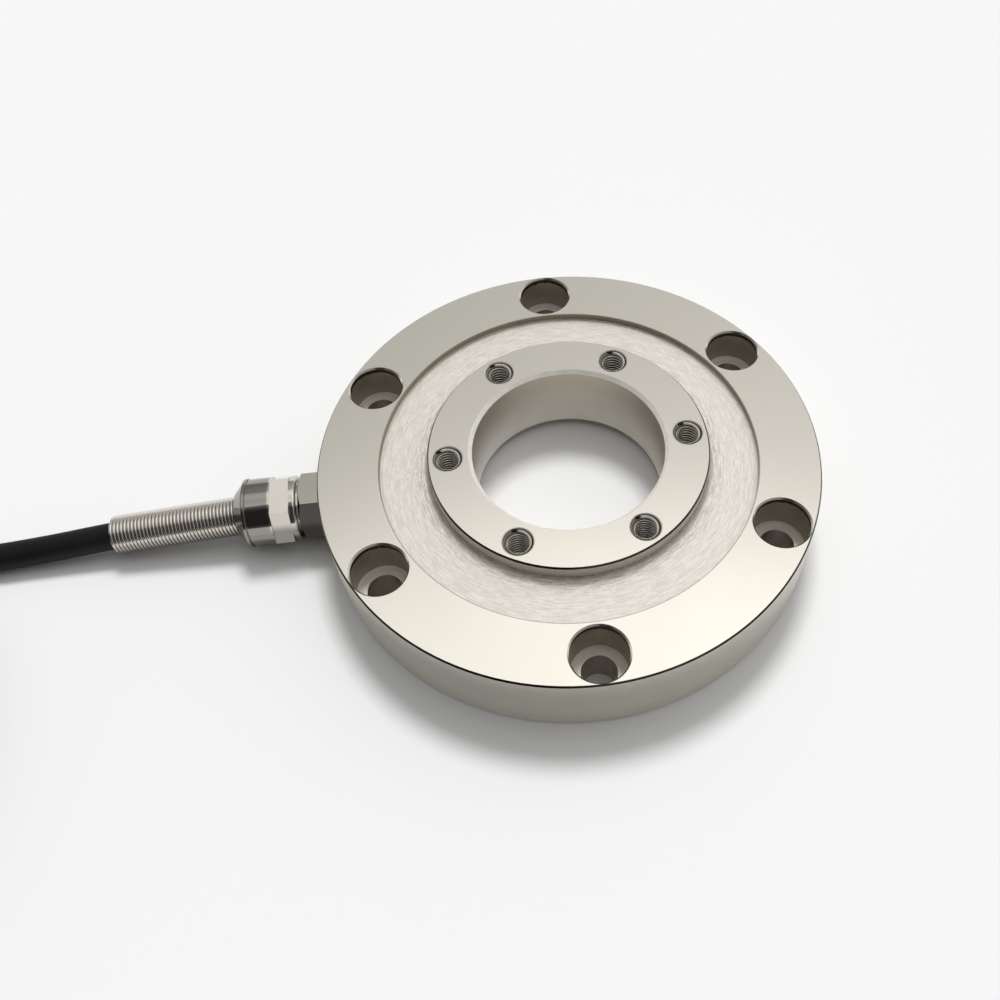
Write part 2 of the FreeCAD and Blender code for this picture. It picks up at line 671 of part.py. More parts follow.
def export_gauges():
    """Gauges in pairs on the web, each pair with a solder terminal and a jumper to the next."""
    number = 0
    for index, angle in enumerate(around(GAUGE_COLUMNS, GAUGE_FIRST_ANGLE)):
        for side in (-0.5, 0.5):
            number += 1
            radius = CAVITY_MIDDLE + side * GAUGE_SPACING
            gauge = plate_on_web(GAUGE_LENGTH, GAUGE_WIDTH, GAUGE_THICKNESS, radius, angle, 0)
            export("strain_gauge_%d" % number, gauge)
        terminal = plate_on_web(TERMINAL_LENGTH, TERMINAL_WIDTH, TERMINAL_THICKNESS, CAVITY_MIDDLE, angle,
                                TERMINAL_OFFSET)
        export("gauge_terminal_%d" % (index + 1), terminal)
    terminal_turn = math.degrees(TERMINAL_OFFSET / CAVITY_MIDDLE)
    for index, angle in enumerate(around(GAUGE_COLUMNS, GAUGE_FIRST_ANGLE)[:-1]):
        first = angle + terminal_turn
        wire = jumper(first, first + 360.0 / GAUGE_COLUMNS, CAVITY_MIDDLE)
        export("jumper_wire_%d" % (index + 1), wire)


def export_board():
    """Bridge board on a pad under the web at the gland's side, with its trimming resistors."""
    inner = CAVITY_INNER_RADIUS + BOARD_EDGE_GAP + CAVITY_CHAMFER
    outer = CAVITY_OUTER_RADIUS - BOARD_EDGE_GAP - CAVITY_CHAMFER
    pad_bottom = WEB_UNDERSIDE - BOARD_PAD_THICKNESS
    board_bottom = pad_bottom - BOARD_THICKNESS
    export("board_pad", sector(inner, outer, pad_bottom, WEB_UNDERSIDE, 180, BOARD_ANGLE))
    export("bridge_board", sector(inner, outer, board_bottom, pad_bottom, 180, BOARD_ANGLE))
    for index, angle in enumerate(RESISTOR_ANGLES):
        part = Part.makeBox(RESISTOR_LENGTH, RESISTOR_WIDTH, RESISTOR_THICKNESS)
        bottom = board_bottom - RESISTOR_THICKNESS
        part.translate(V(CAVITY_MIDDLE - RESISTOR_LENGTH / 2, -RESISTOR_WIDTH / 2, bottom))
        part.rotate(ORIGIN, UP, 180 + angle)
        export("trim_resistor_%d" % (index + 1), part)
    for index, name in enumerate(("core_red", "core_green", "core_white", "core_black")):
        side = CORE_SPREAD if index % 2 else -CORE_SPREAD
        upper = index < 2
        level = CORE_SPREAD if upper else -CORE_SPREAD
        length = JACKET_START - outer + (CORE_RADIUS if upper else CORE_RADIUS + 2 * CORE_SPREAD)
        start = V(-JACKET_START, side, PORT_HEIGHT + level)
        run = Part.makeCylinder(CORE_RADIUS, length, start, V(1, 0, 0))
        rise = board_bottom - PORT_HEIGHT - level
        riser = Part.makeCylinder(CORE_RADIUS, rise, start + V(length, 0, 0), UP)
        knee = Part.makeSphere(CORE_RADIUS, start + V(length, 0, 0))
        export(name, run.fuse([riser, knee]).removeSplitter())


def export_gland():
    export("gland_body", gland_body())
    export("gland_washer", gland_washer())
    export("cable_grommet", cable_grommet())
    export("clamp_washer", clamp_washer())
    export("cap_nut", cap_nut())
    export("strain_relief_spring", strain_relief_spring())


def export_cable():
    coil = cable_coil()
    export("cable_entry", cable_entry())
    export("cable_coil", coil)
    export("cable_lead", cord_tube("cable_lead", LEAD_ROUTE, CABLE_RADIUS).cut(coil))
    tail = cord_tube("cable_tail", TAIL_ROUTE, CABLE_RADIUS).cut(coil)
    export("cable_tail", tail)
    for index, angle in enumerate(TIE_ANGLES):
        export("coil_tie_%d" % (index + 1), coil_tie(angle))
    for name, route in LEAD_FAN.items():
        export(name, stripped_lead(name, route, tail))


os.makedirs("parts", exist_ok=True)
export_body()
export_gauges()
export_board()
export_gland()
export_cable()
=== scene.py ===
import json
import math

import bpy
from mathutils import Matrix, Vector


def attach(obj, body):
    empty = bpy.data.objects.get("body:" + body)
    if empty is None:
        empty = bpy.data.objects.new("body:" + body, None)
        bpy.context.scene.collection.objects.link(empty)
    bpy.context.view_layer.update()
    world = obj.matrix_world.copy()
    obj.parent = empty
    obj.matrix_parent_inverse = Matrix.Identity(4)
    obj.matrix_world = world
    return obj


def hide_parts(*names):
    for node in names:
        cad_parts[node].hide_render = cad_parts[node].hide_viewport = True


# Pancake load cell, in metres. +Z is the loading axis through the bore, the cable gland points
# along -X, and the floor is z = 0.

MM = 0.001
UP = Vector((0, 0, 1))

# Camera: where it stands, what it looks at, its roll and its lens
CAMERA_PLACE = Vector((-0.01509, -0.15128, 0.22678))
CAMERA_TARGET = Vector((0.00134, 0.00882, 0.01295))
CAMERA_ROLL = -1.58
CAMERA_LENS = 37.01
CAMERA_SHIFT = (-0.07, -0.06)

# Sizes of the body that its finishes follow
OUTER_RADIUS = 62.5 * MM
RIM_TOP = 20.0 * MM
RIM_CHAMFER = 0.4 * MM
RECESS_RADIUS = 47.25 * MM
RECESS_FLOOR = 18.2 * MM
HUB_TOP = 22.6 * MM
HUB_RADIUS = 35.0 * MM
HUB_CHAMFER = 0.4 * MM
HUB_FOOT = 1.0 * MM
BORE_RADIUS = 24.0 * MM
BORE_CHAMFER = 0.9 * MM
MOUNT_PITCH_RADIUS = 55.0 * MM
MOUNT_HEAD_RADIUS = 6.75 * MM
MOUNT_FLOOR = 10.0 * MM
MOUNT_FIRST_ANGLE = 30.0
TAPPED_PITCH_RADIUS = 30.0 * MM
TAPPED_RADIUS = 3.0 * MM
TAPPED_MOUTH_RADIUS = 3.9 * MM

# Threads in the hub
TAPPED_COUNT = 6
THREAD_DEPTH = 13.0 * MM
THREAD_ROOT = 3.06 * MM
THREAD_CREST = 2.68 * MM
THREAD_PITCH = 1.0 * MM
THREAD_STARTS = (130, 115, 140, 150, 120, 135)
THREAD_STEPS = 36
THREAD_FIRST = 0.38
# Corners of a ridge: 1 at the wall and 0 at the crest, and the height in pitches
THREAD_SECTION = [(1, 0.34), (0, 0.15), (0, -0.15), (1, -0.34)]

# Gland axis and strain relief spring
GLAND_HEIGHT = 8.8 * MM
SPRING_START = Vector((-77.8, 0, 8.49)) * MM
SPRING_END = Vector((-115.6, 0, 5.62)) * MM
SPRING_RADIUS = 5.0 * MM
SPRING_WIRE_RADIUS = 0.43 * MM
SPRING_TURNS = 42
SPRING_STEPS = 40
SPRING_SIDES = 10
SPRING_SAG = 0.12 * MM
NUT_CONE = -75.4 * MM
GLAND_EDGE = 0.12 * MM
GLAND_EDGE_ANGLE = 28.0

# Cable
CABLE_RADIUS = 3.5 * MM
LEAD_ROUTE = [
    (-75.75, 0.0, 8.8),
    (-84.0, 0.0, 8.7),
    (-100.0, 0.1, 7.2),
    (-117.0, -0.1, 5.6),
    (-133.0, -0.9, 4.1),
    (-149.0, -1.7, 3.6),
    (-164.0, -1.4, 3.65),
    (-177.0, -0.8, 3.9),
    (-187.0, -0.1, 4.25),
]
TAIL_ROUTE = [
    (-217.1, -5.5, 25.9),
    (-227.5, -13.3, 28.4),
    (-235.0, -23.9, 30.8),
    (-239.0, -36.8, 31.6),
    (-238.9, -50.1, 31.6),
]

# Coil: layers of turns side by side, wound inwards and outwards by turns
COIL_CENTRE = Vector((-195.0, -47.0, 0.0)) * MM
COIL_INNER_TURN = 33.0 * MM
COIL_COLUMNS = 3
COIL_LAYERS = 4
COIL_BASE = 4.6 * MM
COIL_STEPS = 24
COIL_START_ANGLE = 90.0
COIL_FIRST_SHIFT = 330.0
COIL_SHIFT_WIDTH = 40.0
COIL_LAYER_LAG = 60.0
COIL_TAIL_GAP = 8.0

# Ratchet heads of the two ties and the cut tails of their straps
TIE_ANGLES = (25.0, 265.0)
TIE_OUTSIDE = 51.2 * MM
TIE_HEAD_HEIGHT = 15.0 * MM
TIE_HEAD_HALF_WIDTH = 3.3 * MM
TIE_HEAD_HALF_HEIGHT = 2.5 * MM
TIE_HEAD_CORNER = 0.7 * MM
# Rings of the head: how far out, and how far its corners are drawn in
TIE_HEAD_RINGS = [(-1.5 * MM, 0.0), (2.55 * MM, 0.0), (3.0 * MM, 0.5 * MM)]
TIE_TAIL_LENGTH = 9.0 * MM
TIE_TAIL_STEPS = 28
TIE_TAIL_OUT = (1.1 * MM, 2.2 * MM)
TIE_STRAP_HALF_WIDTH = 2.1 * MM
TIE_STRAP_BACK = -0.5 * MM
TIE_STRAP_SHOULDER = 0.3 * MM
TIE_STRAP_RIDGES = (0.5 * MM, 0.64 * MM)

# Stripped leads: distances ahead of, left of and above the cable's end
LEAD_RADIUS = 0.65 * MM
STRAND_RADIUS = 0.12 * MM
STRANDS_AROUND = 6
STRAND_STEPS = 12
STRAND_TWIST = 1.5
BARE_LENGTH = 5.0 * MM
LEAD_FAN = {
    "lead_red": [(0, 1.5, 0.5), (4, 2.3, 0.2), (8, 4.3, -0.8), (11.8, 7.6, -1.65), (15, 12, -1.65)],
    "lead_green": [(0, 0.9, -1.3), (4.5, 1.5, -1.5), (9, 3.2, -1.65), (13, 6, -1.65), (17, 10, -1.65)],
    "lead_shield": [(0, 0, 1.6), (4.5, 0.3, 1.2), (9, 1.5, -0.2), (13.8, 4, -1.65), (18, 7.4, -1.65)],
    "lead_white": [(0, -0.9, -1.3), (5, -0.9, -1.5), (10, 0.2, -1.65), (15, 2.3, -1.65), (19.4, 5, -1.65)],
    "lead_black": [(0, -1.5, 0.5), (4.6, -1.9, 0.3), (10, -1.5, -0.9), (15.4, 0, -1.65), (20.4, 2.7, -1.65)],
}

# World light by the height of its direction, before and behind the object
FRONT_LIGHT = [
    (0, 0.5), (0.06, 0.42), (0.16, 0.16), (0.8, 0.17), (0.86, 0.23), (0.89, 0.46), (0.925, 0.92),
    (0.955, 1.0), (0.975, 0.85), (1.0, 0.62),
]
BACK_LIGHT = [
    (0, 0.78), (0.1, 0.72), (0.25, 0.32), (0.7, 0.43), (0.77, 0.47), (0.81, 0.52), (0.84, 0.74),
    (0.87, 0.93), (0.93, 0.95), (0.97, 0.82), (1.0, 0.62),
]
WORLD_MEET = 0.4
WORLD_STRENGTH = 1.22
WORLD_LEAN = 0.75
WORLD_LEAN_HEIGHTS = (0.1, 0.3)

# Dark card in the front light: where it fades in and out from left to right, and how dark it is
CARD_LEFT = (-0.8, -0.65)
CARD_RIGHT = (-0.14, -0.04)
CARD_DEPTH = 0.78

# Soft sun
KEY_ENERGY = 1.75
KEY_ANGLE = 16.0
KEY_TURN = (-28.0, 0.0, -12.0)

# Floor, a hair below what stands on it
FLOOR_SIZE = 8
FLOOR_DROP = 0.05 * MM

# Tool marks and grain: noise waves per metre across, and per radian around the loading axis
TURNED_LINES = 2600.0
BRUSH_STREAKS = 9.0
WALL_STREAKS = 5.0
MILLED_STREAKS = 4.0
UPRIGHT_LINES = 500.0
UPRIGHT_STREAKS = 90.0
TAP_LINES = 3200.0
SPECKLE_SCALE = 1500.0
CLOUD_SCALE = 45.0
SINK_RING_PITCH = 0.36 * MM

# Depths over which painted shade and light change the walls' tone
SIDE_FADE = (5.0 * MM, 17.0 * MM)
BORE_FADE = (1.0 * MM, 19.0 * MM)
HOLE_SHADE = (1.75 * MM, 1.6 * MM)
HOLE_SHADE_RAGGED = 0.9 * MM

# Plain colours, in linear light
NICKEL = (0.87, 0.83, 0.735)
NICKEL_WORN = (0.80, 0.78, 0.71)
BRUSHED = (1.0, 0.965, 0.885)
BRUSHED_DARK = (0.5, 0.46, 0.41)
BORE_WALL = (0.45, 0.41, 0.335)
BORE_TURNED = (0.38, 0.345, 0.28)
# Painted light for the foot of the bore
BORE_FOOT_PAINTED_LIGHT = (0.98, 0.95, 0.88)
HUB_WALL = (0.8, 0.76, 0.68)
FOOT_ROUND = (0.72, 0.64, 0.6)
# Painted shade, brown, for the recess's outer wall and a line along the hub's foot
WALL_SHADE_BROWN = (0.24, 0.21, 0.16)
# Painted shade lines for the rim's inner edge and for the chamfers
EDGE_SHADE_LINE = (0.45, 0.42, 0.36)
EDGE_SHADE_DARK = (0.1, 0.09, 0.075)
HOLE_WALL = (0.4, 0.36, 0.28)
# Painted shade for the top of the counterbore walls, also the dark of the rings in the tapped holes'
# countersinks
SHADE_AND_RING_DARK = (0.06, 0.05, 0.035)
SEAT = (1.0, 0.96, 0.88)
SEAT_DARK = (0.8, 0.74, 0.64)
# Painted shade for the threads' grooves and flanks
THREAD_SHADE = (0.05, 0.045, 0.035)
SIDE_FOOT = (0.75, 0.72, 0.635)
# Painted shade for the top of the rim's side
SIDE_TOP_SHADE = (0.57, 0.545, 0.475)
GLAND_NICKEL = (0.66, 0.63, 0.56)
CUT_STEEL = (0.72, 0.69, 0.6)
CREST_BRIGHT = (0.98, 0.94, 0.85)
CREST_DULL = (0.75, 0.7, 0.6)
WIRE = (0.74, 0.7, 0.64)
# Painted shade for the spring's underside
WIRE_SHADE = (0.36, 0.335, 0.305)
TINNED = (0.66, 0.64, 0.62)
SHEET_STEEL = (0.55, 0.54, 0.51)
FOIL_AMBER = (0.55, 0.27, 0.06)
FOIL_GRID = (0.34, 0.2, 0.1)
COPPER = (0.83, 0.42, 0.24)
COPPER_DULL = (0.6, 0.28, 0.16)
FLOOR_PALE = (0.93, 0.93, 0.93)
FLOOR_CLOUD = (0.94, 0.94, 0.94)
UNLIT = (0.0, 0.0, 0.0)


# Node helpers

class Nodes:
    """Short calls for the nodes of a material or a world."""

    def __init__(self, tree):
        self.tree = tree

    def add(self, kind, **settings):
        node = self.tree.nodes.new(kind)
        for key, value in settings.items():
            setattr(node, key, value)
        return node

    def feed(self, socket, value):
        """Links a socket's value, or sets a constant one."""
        if isinstance(value, bpy.types.NodeSocket):
            self.tree.links.new(value, socket)
        else:
            socket.default_value = value

    def math(self, operation, *values, clamp=False):
        node = self.add("ShaderNodeMath", operation=operation, use_clamp=clamp)
        for socket, value in zip(node.inputs, values):
            self.feed(socket, value)
        return node.outputs[0]

    def hypot(self, first, second):
        squares = [self.math("MULTIPLY", value, value) for value in (first, second)]
        return self.math("SQRT", self.math("ADD", *squares))

    def split(self, vector):
        node = self.add("ShaderNodeSeparateXYZ")
        self.feed(node.inputs[0], vector)
        return node.outputs

    def join(self, x, y, z):
        node = self.add("ShaderNodeCombineXYZ")
        for socket, value in zip(node.inputs, (x, y, z)):
            self.feed(socket, value)
        return node.outputs[0]

    def smooth(self, value, low, high, start=0.0, end=1.0):
        """Smooth step from start to end while the value goes from low to high."""
        node = self.add("ShaderNodeMapRange", interpolation_type="SMOOTHSTEP")
        for socket, number in zip(node.inputs, (value, low, high, start, end)):
            self.feed(socket, number)
        return node.outputs[0]

    def noise(self, vector, scale, detail=3.0, roughness=0.55):
        node = self.add("ShaderNodeTexNoise")
        self.feed(node.inputs["Vector"], vector)
        self.feed(node.inputs["Scale"], scale)
        self.feed(node.inputs["Detail"], detail)
        self.feed(node.inputs["Roughness"], roughness)
        return node.outputs["Fac"]

    def streaks(self, across, lines, around, waves, seed, detail=3.0, roughness=0.55):
        """Noise with fine lines across and long streaks around."""
        place = self.join(self.math("MULTIPLY", across, lines), self.math("MULTIPLY", around, waves), seed)
        return self.noise(place, 1.0, detail, roughness)

    def blend(self, factor, first, second):
        node = self.add("ShaderNodeMix", data_type="RGBA")
        self.feed(node.inputs["Factor"], factor)
        for name, value in (("A", first), ("B", second)):
            socket = [s for s in node.inputs if s.name == name and s.type == "RGBA"][0]
            self.feed(socket, (*value, 1.0) if isinstance(value, tuple) else value)
        return [s for s in node.outputs if s.type == "RGBA"][0]

    def band(self, value, low, high, soft=0.04 * MM):
        """1 where the value lies between low and high."""
        above = self.smooth(value, low - soft, low + soft)
        return self.math("MULTIPLY", above, self.smooth(value, high - soft, high + soft, 1.0, 0.0))

    def both(self, first, second):
        return self.math("MULTIPLY", first, second)

    def total(self, start, *terms):
        """Start value plus each (mask, weight)."""
        value = start
        for mask, weight in terms:
            value = self.math("MULTIPLY_ADD", mask, weight, value)
        return value

    def ramp(self, value, stops):
        """Grey ramp over 0 to 1."""
        node = self.add("ShaderNodeValToRGB")
        node.color_ramp.interpolation = "EASE"
        elements = node.color_ramp.elements
        elements.remove(elements[-1])
        for place, grey in stops:
            element = elements[0] if place == 0 else elements.new(place)
            element.color = (grey, grey, grey, 1)
        self.feed(node.inputs[0], value)
        return node.outputs["Color"]


class Shader(Nodes):
    """A material with its node tree."""

    def __init__(self, name, base, metallic, roughness):
        self.material = bpy.data.materials.new(name)
        self.material.use_nodes = True
        super().__init__(self.material.node_tree)
        self.bsdf = self.tree.nodes["Principled BSDF"]
        self.set("Base Color", (*base, 1.0))
        self.set("Metallic", metallic)
        self.set("Roughness", roughness)
        self.place = self.add("ShaderNodeTexCoord").outputs["Object"]

    def set(self, name, value):
        self.feed(self.bsdf.inputs[name], value)

    def bump(self, height, strength, distance):
        node = self.add("ShaderNodeBump")
        self.feed(node.inputs["Strength"], strength)
        self.feed(node.inputs["Distance"], distance)
        self.feed(node.inputs["Height"], height)
        self.set("Normal", node.outputs[0])

    def polar(self):
        """Radius, angle in radians and height about the loading axis."""
        x, y, z = self.split(self.place)
        return self.hypot(x, y), self.math("ARCTAN2", y, x), z

    def from_pattern(self, radius, angle, pitch_radius, first_angle):
        """Distance from the nearest hole of six on a circle."""
        sixth = math.radians(60)
        turned = self.math("SUBTRACT", angle, math.radians(first_angle))
        folded = self.math("WRAP", turned, sixth / 2, -sixth / 2)
        reach = self.math("MULTIPLY", radius, self.math("COSINE", folded))
        aside = self.math("MULTIPLY", radius, self.math("SINE", folded))
        return self.hypot(self.math("SUBTRACT", reach, pitch_radius), aside)


# Materials

def machined_nickel():
    """Body finish: smooth plated faces, brushed recess, turned walls, milled counterbores, with painted shade
    on edges, walls and threads and painted light at the bore's foot.
    """
    s = Shader("machined_nickel", NICKEL, 1.0, 0.2)
    radius, angle, z = s.polar()
    mount = s.from_pattern(radius, angle, MOUNT_PITCH_RADIUS, MOUNT_FIRST_ANGLE)
    tap = s.from_pattern(radius, angle, TAPPED_PITCH_RADIUS, 0.0)
    near_mount = s.smooth(mount, MOUNT_HEAD_RADIUS + 0.1 * MM, MOUNT_HEAD_RADIUS + 0.2 * MM, 1.0, 0.0)
    near_tap = s.smooth(tap, TAPPED_MOUTH_RADIUS + 0.02 * MM, TAPPED_MOUTH_RADIUS + 0.06 * MM, 1.0, 0.0)
    rim_wall_top = RIM_TOP - RIM_CHAMFER
    hub_wall_top = HUB_TOP - HUB_CHAMFER
    bore_wall_top = HUB_TOP - BORE_CHAMFER

    # Where each finish lies, and where shade and light are painted
    recess = s.both(s.band(radius, HUB_RADIUS + HUB_FOOT, RECESS_RADIUS - 0.05 * MM),
                    s.band(z, RECESS_FLOOR - 0.3 * MM, RECESS_FLOOR + 0.2 * MM))
    foot = s.both(s.band(radius, HUB_RADIUS - 0.3 * MM, HUB_RADIUS + HUB_FOOT),
                  s.band(z, RECESS_FLOOR - 0.3 * MM, RECESS_FLOOR + HUB_FOOT))
    foot_line = s.both(foot, s.band(z, RECESS_FLOOR + 0.72 * MM, RECESS_FLOOR + 2 * MM))
    hub_wall = s.both(s.band(radius, HUB_RADIUS - 0.1 * MM, HUB_RADIUS + 0.2 * MM),
                      s.band(z, RECESS_FLOOR + HUB_FOOT, hub_wall_top))
    recess_wall = s.both(s.band(radius, RECESS_RADIUS - 0.1 * MM, RECESS_RADIUS + 0.1 * MM),
                         s.band(z, RECESS_FLOOR + 0.1 * MM, RIM_TOP - 0.05 * MM, 0.02 * MM))
    side = s.both(s.smooth(radius, OUTER_RADIUS - 0.3 * MM, OUTER_RADIUS - 0.2 * MM),
                  s.smooth(z, rim_wall_top - 0.05 * MM, rim_wall_top, 1.0, 0.0))
    bore = s.both(s.smooth(radius, BORE_RADIUS + 0.05 * MM, BORE_RADIUS + 0.15 * MM, 1.0, 0.0),
                  s.smooth(z, bore_wall_top - 0.1 * MM, bore_wall_top, 1.0, 0.0))
    mouth_radius = BORE_RADIUS + BORE_CHAMFER
    bore_mouth = s.both(s.smooth(radius, mouth_radius, mouth_radius + 0.05 * MM, 1.0, 0.0),
                        s.smooth(z, bore_wall_top - 0.05 * MM, bore_wall_top + 0.05 * MM))
    rough_edge = s.noise(s.place, 700.0, 3.0)
    ragged = s.math("MULTIPLY_ADD", rough_edge, HOLE_SHADE_RAGGED, -HOLE_SHADE_RAGGED / 2)
    hole_wall = s.both(near_mount, s.smooth(z, rim_wall_top - 0.03 * MM, rim_wall_top, 1.0, 0.0))
    shade_low, shade_high = (RIM_TOP - depth for depth in HOLE_SHADE)
    hole_top_shade = s.both(hole_wall, s.smooth(s.math("ADD", z, ragged), shade_low, shade_high))
    seat = s.both(near_mount, s.band(z, MOUNT_FLOOR - 0.15 * MM, MOUNT_FLOOR + 0.12 * MM, 0.03 * MM))
    thread_wall = s.both(s.smooth(tap, TAPPED_RADIUS + 0.05 * MM, TAPPED_RADIUS + 0.15 * MM, 1.0, 0.0),
                         s.smooth(z, HUB_TOP - 1.0 * MM, HUB_TOP - 0.8 * MM, 1.0, 0.0))
    tap_sink = s.both(near_tap, s.band(z, HUB_TOP - 1.1 * MM, HUB_TOP - 0.2 * MM, 0.03 * MM))
    tap_mouth = s.both(near_tap, s.band(z, HUB_TOP - 0.2 * MM, HUB_TOP - 0.02 * MM, 0.01 * MM))
    edge_line = s.both(s.band(radius, RECESS_RADIUS - 0.1 * MM, RECESS_RADIUS + 0.2 * MM),
                       s.smooth(z, RIM_TOP - 0.06 * MM, RIM_TOP - 0.02 * MM))
    rim_face = OUTER_RADIUS - RIM_CHAMFER
    rim_edge = s.both(s.smooth(radius, rim_face + 0.02 * MM, rim_face + 0.06 * MM),
                      s.smooth(z, rim_wall_top - 0.03 * MM, rim_wall_top))
    hub_edge = s.both(s.band(radius, HUB_RADIUS - HUB_CHAMFER + 0.04 * MM, HUB_RADIUS + 0.1 * MM, 0.02 * MM),
                      s.smooth(z, hub_wall_top - 0.03 * MM, hub_wall_top))
    dull = s.math("MAXIMUM", s.math("MAXIMUM", side, bore), hub_wall)
    # Painted light, growing towards the bore's foot
    bore_foot_painted_light = s.both(bore, s.smooth(z, *BORE_FADE, 1.0, 0.0))
    # Painted shade, growing towards the top of the rim's side
    side_top_shade = s.both(side, s.smooth(z, *SIDE_FADE))

    # Marks of the tools
    streaks = s.streaks(radius, TURNED_LINES, angle, BRUSH_STREAKS, 0.0, 5.0, 0.75)
    speckle = s.noise(s.place, SPECKLE_SCALE, 3.0)
    brushing = s.smooth(s.math("MULTIPLY_ADD", speckle, 0.15, s.math("MULTIPLY", streaks, 0.85)), 0.4, 0.6)
    # The brushed recess is darker towards the hub
    darker_toward_hub = s.smooth(radius, HUB_RADIUS + 0.5 * MM, HUB_RADIUS + 5 * MM, 0.85, 0.4)
    bands = s.streaks(z, TURNED_LINES, angle, WALL_STREAKS, 5.0, 4.0, 0.7)
    upright = s.streaks(z, UPRIGHT_LINES, angle, UPRIGHT_STREAKS, 7.0, 3.0, 0.7)
    marks = s.streaks(mount, TURNED_LINES, angle, MILLED_STREAKS, 9.0, 4.0, 0.7)
    tap_marks = s.noise(s.join(s.math("MULTIPLY", tap, TAP_LINES), 0.0, 3.0), 1.0, 3.0)
    clouds = s.noise(s.place, CLOUD_SCALE, 3.0)

    height = s.total(
        0.0, (speckle, 0.05), (s.both(brushing, recess), 0.7), (s.both(bands, dull), 0.3),
        (s.both(marks, hole_wall), 0.8), (s.both(brushing, foot), 0.8), (s.both(tap_marks, tap_mouth), 1.0),
    )
    s.bump(height, 0.4, 0.04 * MM)
    s.set("Roughness", s.total(
        0.15, (clouds, 0.07), (recess, 0.26), (foot, 0.3), (hub_wall, 0.25), (recess_wall, 0.3), (side, 0.08),
        (bore, 0.16), (bore_mouth, 0.3), (hole_wall, 0.22), (seat, 0.15), (thread_wall, 0.3), (tap_sink, 0.3),
        (tap_mouth, 0.2),
    ))
    s.set("Metallic", s.total(
        1.0, (recess, -0.42), (foot, -0.4), (hub_wall, -0.45), (bore_mouth, -0.7), (bore_foot_painted_light, -0.6),
        (hole_wall, -0.15), (seat, -1.0), (tap_mouth, -0.6), (tap_sink, -0.5),
    ))

    plate = s.blend(s.math("MULTIPLY", clouds, 0.2), NICKEL, NICKEL_WORN)
    scratched = s.blend(s.math("MULTIPLY", s.math("SUBTRACT", 1.0, brushing), darker_toward_hub), BRUSHED, BRUSHED_DARK)
    plate = s.blend(recess, plate, scratched)
    plate = s.blend(foot, plate, s.blend(brushing, FOOT_ROUND, BRUSHED_DARK))
    # Painted shade: a streaky dark line along the hub's foot
    plate = s.blend(s.both(foot_line, s.smooth(upright, 0.3, 0.6)), plate, WALL_SHADE_BROWN)
    plate = s.blend(hub_wall, plate, s.blend(upright, HUB_WALL, BRUSHED_DARK))
    # Painted shade on the recess's outer wall, streaked with the hole wall's tone
    plate = s.blend(recess_wall, plate, s.blend(upright, WALL_SHADE_BROWN, HOLE_WALL))
    # The rim's side, with painted shade towards its top
    plate = s.blend(side, plate, s.blend(side_top_shade, SIDE_FOOT, SIDE_TOP_SHADE))
    # Painted shade lines on the rim's inner edge, then on the rim's and hub's chamfers
    plate = s.blend(edge_line, plate, EDGE_SHADE_LINE)
    plate = s.blend(s.math("MAXIMUM", rim_edge, hub_edge), plate, EDGE_SHADE_DARK)
    # Painted light: the bore's turned wall grows paler towards its foot
    turned = s.blend(bore_foot_painted_light, s.blend(bands, BORE_WALL, BORE_TURNED), BORE_FOOT_PAINTED_LIGHT)
    plate = s.blend(bore, plate, turned)
    plate = s.blend(bore_mouth, plate, s.blend(s.math("MULTIPLY", brushing, 0.25), BRUSHED, BRUSHED_DARK))
    plate = s.blend(tap_mouth, plate, s.blend(tap_marks, BRUSHED, BRUSHED_DARK))
    plate = s.blend(hole_wall, plate, s.blend(marks, HOLE_WALL, BRUSHED_DARK))
    # Painted shade on the top of the counterbore walls, with a ragged lower edge
    plate = s.blend(hole_top_shade, plate, SHADE_AND_RING_DARK)
    plate = s.blend(seat, plate, s.blend(s.smooth(marks, 0.4, 0.6), SEAT_DARK, SEAT))
    # Painted shade on the tapped holes' walls below their mouths
    plate = s.blend(thread_wall, plate, THREAD_SHADE)
    rings = s.smooth(s.math("SINE", s.math("MULTIPLY", tap, 2 * math.pi / SINK_RING_PITCH)), -0.5, 0.5)
    plate = s.blend(tap_sink, plate, s.blend(rings, SHADE_AND_RING_DARK, BORE_WALL))
    s.set("Base Color", plate)
    return s.material


def polished_nickel(name="polished_nickel", base=GLAND_NICKEL, rough=0.05):
    """Gland finish: bright plate with faint turning lines, with painted shade on its low half and from the
    nut's cone leftwards.
    """
    s = Shader(name, base, 1.0, rough)
    x, y, z = s.split(s.place)
    drawn_out = [s.math("MULTIPLY", value, scale) for value, scale in ((x, 4000.0), (y, 60.0), (z, 60.0))]
    lines = s.noise(s.join(*drawn_out), 1.0)
    grain = s.noise(s.place, 500.0, 3.0)
    # Painted shade: up to a little above the axis, and from the nut's cone leftwards, the base blends to a
    # darker copy; the tinned leads, which share this material, lie in that reach too
    low = s.smooth(z, GLAND_HEIGHT + 1.5 * MM, GLAND_HEIGHT + 4.2 * MM, 0.9, 0.0)
    cone = s.smooth(x, NUT_CONE - 0.2 * MM, NUT_CONE + 0.4 * MM, 0.8, 0.0)
    s.bump(lines, 0.06, 0.02 * MM)
    s.set("Roughness", s.total(rough, (grain, 0.03), (lines, 0.03)))
    worn = tuple(value * 0.95 for value in base)
    shaded = tuple(value * 0.36 for value in base)
    s.set("Base Color", s.blend(s.math("MAXIMUM", low, cone), s.blend(lines, base, worn), shaded))
    return s.material


